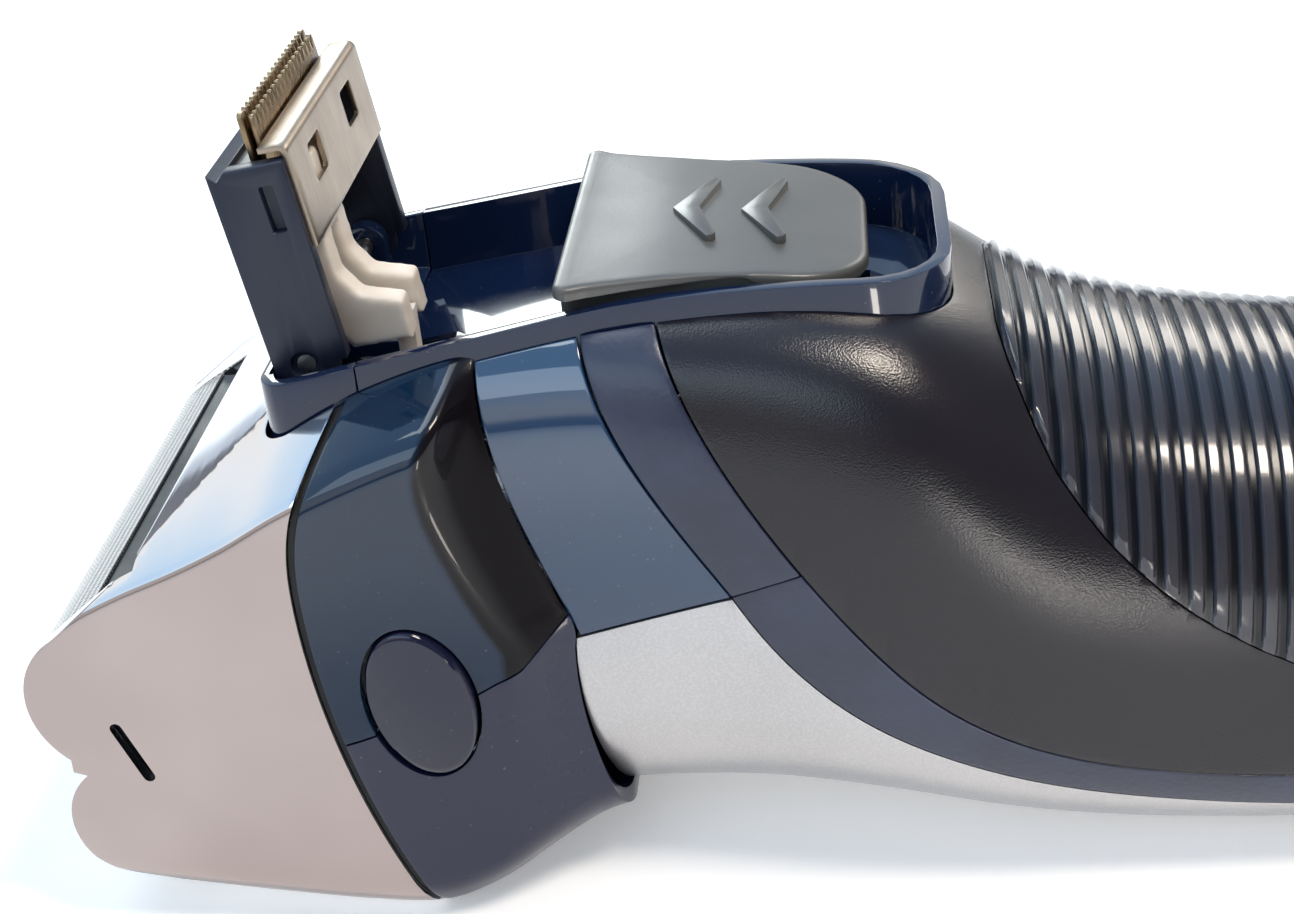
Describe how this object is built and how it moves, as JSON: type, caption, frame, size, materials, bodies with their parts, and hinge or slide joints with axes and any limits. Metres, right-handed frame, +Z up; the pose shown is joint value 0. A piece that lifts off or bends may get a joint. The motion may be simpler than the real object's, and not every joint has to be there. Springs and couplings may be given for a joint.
{
  "type": "electric shaver",
  "caption": "Corded/cordless foil shaver lying on its front: chromed twin-foil head, oval release buttons, pop-up trimmer standing open, slide switch and ribbed smoke grip",
  "frame": {"origin": "bottom centre of the bounding box, on the surface the shaver lies on", "axes": "+X along the shaver from the foils to the handle end, +Y across its width, +Z up through its back"},
  "size_m": [0.16, 0.059, 0.0789],
  "materials": {
    "polished_chrome": "chrome-plated moulding, mirror on the back plate and satin on the cheeks",
    "black_moulding": "plain moulded black",
    "foil_steel": "thin perforated foil, bright",
    "cutter_steel": "ground lamellae",
    "spring_steel": "drawn wire and sheet",
    "nylon": "cream nylon",
    "motor_can": "zinc-plated can",
    "brass_part": "turned brass",
    "gloss_black": "high gloss blue-black",
    "satin_black": "satin blue-black",
    "seal_rubber": "matt black",
    "textured_band": "fine moulded texture",
    "satin_silver": "satin silver lacquer over a moulding",
    "satin_silver_plastic": "satin silver",
    "textured_black": "spark-eroded texture, brown-black",
    "smoke_clear": "smoke-tinted clear plastic with polished ribs",
    "matte_grey": "soft matt grey",
    "navy_moulding": "matt navy",
    "trimmer_steel": "stamped stainless sheet",
    "comb_steel": "ground steel with a warm tint",
    "cell_sleeve": "heat-shrink sleeve",
    "board_green": "solder mask",
    "lamp_lens": "milky lens",
    "screw_steel": "plated screws"
  },
  "bodies": {
    "housing": {"main_shell": "textured_black", "front_cover": "satin_silver", "grip_panel": "smoke_clear", "neck_panel_left": "gloss_black", "neck_panel_right": "gloss_black", "side_band_left": "textured_band", "side_band_right": "textured_band", "end_cap": "textured_black", "charging_socket": "black_moulding", "socket_pins": "brass_part", "socket_seal": "seal_rubber", "end_screws": "screw_steel", "upper_head_shell": "gloss_black", "lower_head_shell": "satin_black", "head_gasket": "seal_rubber", "trimmer_deck": "gloss_black", "hinge_bracket": "gloss_black", "chassis": "black_moulding", "chassis_screws": "screw_steel", "motor": "motor_can", "battery": "cell_sleeve", "battery_tabs": "spring_steel", "circuit_board": "board_green", "power_switch": "black_moulding", "charge_lamp_lens": "lamp_lens", "bridge_flexures": "nylon", "release_spring_left": "spring_steel", "release_spring_right": "spring_steel", "trimmer_spring": "spring_steel"},
    "motor_shaft": {"motor_eccentric": "brass_part"},
    "bridge": {"drive_bridge": "nylon", "cutter_springs": "spring_steel"},
    "rear_cutter": {"cutter_rear": "cutter_steel"},
    "front_cutter": {"cutter_front": "cutter_steel"},
    "head_frame": {"head_frame": "polished_chrome"},
    "foil_set": {"foil_cassette": "black_moulding", "foil_rear": "foil_steel", "foil_front": "foil_steel"},
    "trimmer": {"trimmer_arm": "navy_moulding", "trimmer_pin": "spring_steel", "trimmer_plate": "trimmer_steel", "trimmer_comb": "comb_steel"},
    "trimmer_drive": {"trimmer_lever": "nylon", "trimmer_blade": "comb_steel"},
    "trimmer_slide": {"slide_button": "matte_grey", "slide_carrier": "black_moulding"},
    "release_left": {"release_button_left": "satin_black"},
    "release_right": {"release_button_right": "satin_black"},
    "power": {"power_button": "satin_silver_plastic"}
  },
  "joints": [
    {"name": "head_release", "type": "slide", "parent": "housing", "child": "head_frame", "axis": [-1, 0, 0], "range_m": [0, 0.03]},
    {"name": "foil_float", "type": "slide", "parent": "head_frame", "child": "foil_set", "axis": [1, 0, 0], "range_m": [0, 0.0012], "stiffness_N_per_m": 900},
    {"name": "bridge_stroke", "type": "slide", "parent": "housing", "child": "bridge", "axis": [0, 1, 0], "range_m": [-0.0012, 0.0012], "stiffness_N_per_m": 1500, "deforming": ["bridge_flexures"]},
    {"name": "rear_cutter_float", "type": "slide", "parent": "bridge", "child": "rear_cutter", "axis": [1, 0, 0], "range_m": [0, 0.0012], "deforming": ["cutter_springs"]},
    {"name": "front_cutter_float", "type": "slide", "parent": "bridge", "child": "front_cutter", "axis": [1, 0, 0], "range_m": [0, 0.0012], "deforming": ["cutter_springs"]},
    {"name": "motor_spin", "type": "hinge", "parent": "housing", "child": "motor_shaft", "pos_m": [-0.048, 0, 0.027], "axis": [1, 0, 0], "continuous": true},
    {"name": "trimmer_fold", "type": "hinge", "parent": "housing", "child": "trimmer", "pos_m": [-0.0502, 0, 0.0554], "axis": [0, 1, 0], "range_deg": [0, 87], "deforming": ["trimmer_spring"]},
    {"name": "trimmer_stroke", "type": "slide", "parent": "trimmer", "child": "trimmer_drive", "axis": [0, 1, 0], "range_m": [-0.0012, 0.0012]},
    {"name": "slide_travel", "type": "slide", "parent": "housing", "child": "trimmer_slide", "axis": [1, 0, 0], "range_m": [0, 0.0055]},
    {"name": "release_left_press", "type": "slide", "parent": "housing", "child": "release_left", "axis": [0, 1, 0], "range_m": [0, 0.0018], "stiffness_N_per_m": 600, "deforming": ["release_spring_left"]},
    {"name": "release_right_press", "type": "slide", "parent": "housing", "child": "release_right", "axis": [0, -1, 0], "range_m": [0, 0.0018], "stiffness_N_per_m": 600, "deforming": ["release_spring_right"]},
    {"name": "power_press", "type": "slide", "parent": "housing", "child": "power", "axis": [0, 0, 1], "range_m": [0, 0.0006], "stiffness_N_per_m": 1200}
  ],
  "couplings": [
    {"joint": "rear_cutter_float", "follows": "foil_float", "ratio": 1},
    {"joint": "front_cutter_float", "follows": "foil_float", "ratio": 1},
    {"joint": "trimmer_stroke", "follows": "bridge_stroke", "ratio": 1},
    {"joint": "slide_travel", "follows": "trimmer_fold", "m_per_rad": 0.0036}
  ]
}
